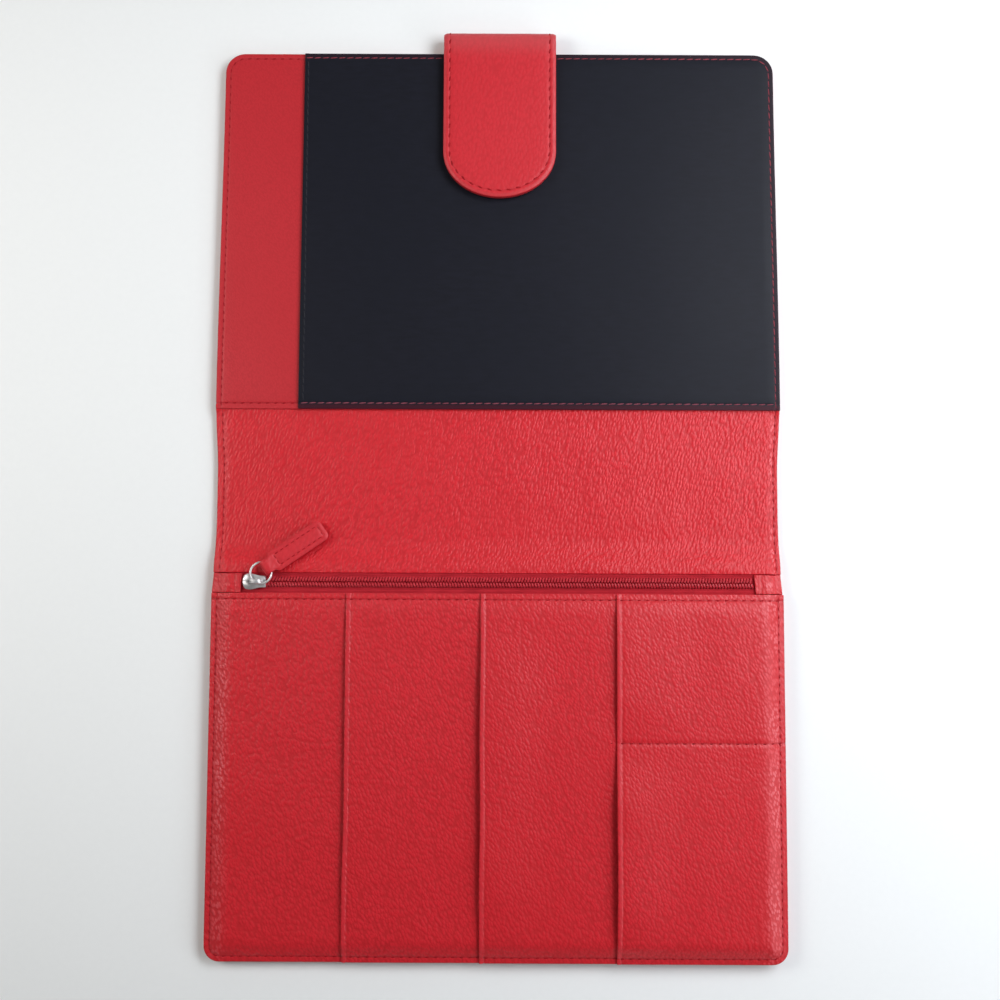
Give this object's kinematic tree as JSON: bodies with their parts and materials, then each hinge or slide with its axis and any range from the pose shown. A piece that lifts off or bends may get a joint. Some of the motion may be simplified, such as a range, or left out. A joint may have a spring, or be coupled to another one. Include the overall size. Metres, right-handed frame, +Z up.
{
  "type": "portfolio cover",
  "caption": "Folding leather portfolio cover, lying open: zip pocket and layered slip pockets on one panel, a black slip pocket on the other, and a magnetic closing flap.",
  "frame": {"origin": "middle of the open cover's outline, on the underside that rests on the table", "axes": "+X to the right across the cover, +Y from the pocket edge to the flap edge, +Z up out of the inside"},
  "size_m": [0.24, 0.3934, 0.0108],
  "materials": {
    "pebbled_leather": "pebbled, satin",
    "smooth_leather": "fine grain, satin",
    "black_cloth": "smooth coated cloth",
    "bag_cloth": "matt",
    "tape_cloth": "woven, matt",
    "coil_nylon": "semi-gloss",
    "board_card": "matt",
    "silver_metal": "polished",
    "magnet_metal": "plain"
  },
  "bodies": {
    "front_panel": {"outer_cover_front": "pebbled_leather", "front_board": "board_card", "keeper_magnet": "magnet_metal", "zip_bag_back": "bag_cloth", "zip_bag_front": "bag_cloth", "zip_facing_strip": "bag_cloth", "spine_lining_front": "pebbled_leather", "zip_tape_upper": "tape_cloth", "zip_tape_lower": "tape_cloth", "zip_coil_upper": "coil_nylon", "zip_coil_lower": "coil_nylon", "zip_end_tab_left": "pebbled_leather", "zip_end_tab_right": "pebbled_leather", "pocket_panel": "pebbled_leather", "slip_pocket_wide": "pebbled_leather", "slip_pocket_middle": "pebbled_leather", "slip_pocket_narrow": "pebbled_leather"},
    "spine": {"outer_cover_spine": "pebbled_leather", "spine_lining_middle": "pebbled_leather"},
    "back_panel": {"outer_cover_back": "pebbled_leather", "spine_lining_back": "pebbled_leather", "back_board": "board_card", "back_lining": "smooth_leather", "black_pocket": "black_cloth", "flap_tongue": "pebbled_leather"},
    "flap_fold": {"flap_neck": "pebbled_leather"},
    "flap_middle": {"flap_leather_middle": "pebbled_leather", "flap_filler_middle": "board_card", "flap_lining_middle": "smooth_leather"},
    "flap_end": {"flap_leather_tip": "pebbled_leather", "flap_filler_tip": "board_card", "flap_magnet": "magnet_metal", "flap_lining_tip": "smooth_leather"},
    "slider": {"zip_slider": "silver_metal"},
    "ring": {"pull_ring": "silver_metal"},
    "tab": {"pull_tab": "pebbled_leather"}
  },
  "joints": [
    {"name": "front_crease", "type": "hinge", "parent": "front_panel", "child": "spine", "pos_m": [0, -0.0128, 0.002], "axis": [1, 0, 0], "range_deg": [0, 90]},
    {"name": "back_crease", "type": "hinge", "parent": "spine", "child": "back_panel", "pos_m": [0, 0.0052, 0.002], "axis": [1, 0, 0], "range_deg": [0, 90]},
    {"name": "flap_lift", "type": "hinge", "parent": "back_panel", "child": "flap_fold", "pos_m": [0.0003, 0.1961, 0.002], "axis": [1, 0, 0], "range_deg": [-90, 0]},
    {"name": "flap_unfold", "type": "hinge", "parent": "flap_fold", "child": "flap_middle", "pos_m": [0.0003, 0.1961, 0.008], "axis": [-1, 0, 0], "range_deg": [0, 90]},
    {"name": "flap_wrap", "type": "hinge", "parent": "flap_middle", "child": "flap_end", "pos_m": [0.0003, 0.1796, 0.0067], "axis": [1, 0, 0], "range_deg": [0, 90]},
    {"name": "slider_travel", "type": "slide", "parent": "front_panel", "child": "slider", "axis": [1, 0, 0], "range_m": [0, 0.202]},
    {"name": "ring_swing", "type": "hinge", "parent": "slider", "child": "ring", "pos_m": [-0.1011, -0.041, 0.00865], "axis": [-0.5736, 0.8192, 0], "range_deg": [-100, 0]},
    {"name": "tab_swing", "type": "hinge", "parent": "ring", "child": "tab", "pos_m": [-0.09389, -0.03595, 0.00865], "axis": [-0.5736, 0.8192, 0], "range_deg": [-40, 0]}
  ],
  "couplings": [
    {"joint": "flap_wrap", "follows": "flap_unfold", "ratio": 1}
  ]
}
